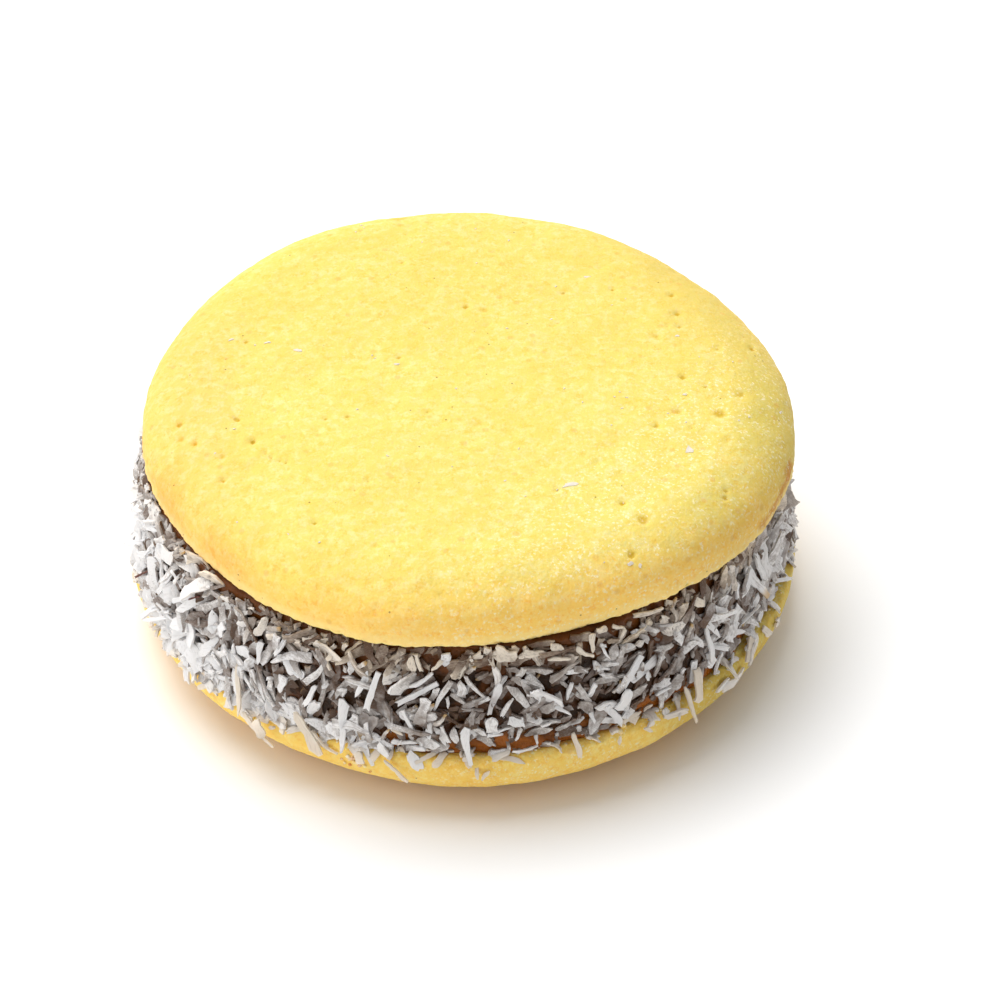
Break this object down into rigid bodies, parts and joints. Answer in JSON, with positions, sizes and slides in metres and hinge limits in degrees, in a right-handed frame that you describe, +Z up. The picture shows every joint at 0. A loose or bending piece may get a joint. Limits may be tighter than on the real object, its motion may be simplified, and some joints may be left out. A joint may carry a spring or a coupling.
{
  "type": "cornstarch alfajor",
  "caption": "Round sandwich biscuit: pale yellow domed biscuits with a thick caramel filling between them, its side rolled in coconut shreds.",
  "frame": {"origin": "middle of the flat spot under the lower biscuit, on the surface that the alfajor rests on", "axes": "+Z up through both biscuits, -Y towards the near side of the picture, +X to its right"},
  "size_m": [0.0682, 0.0682, 0.0274],
  "materials": {
    "biscuit": "dry baked dough, pale lemon yellow, golden towards the rim",
    "caramel": "soft dark milk caramel with a dull gloss",
    "coconut": "dry white coconut shreds, slightly translucent"
  },
  "bodies": {
    "root": {"bottom_biscuit": "biscuit", "filling": "caramel", "top_biscuit": "biscuit"}
  },
  "joints": []
}
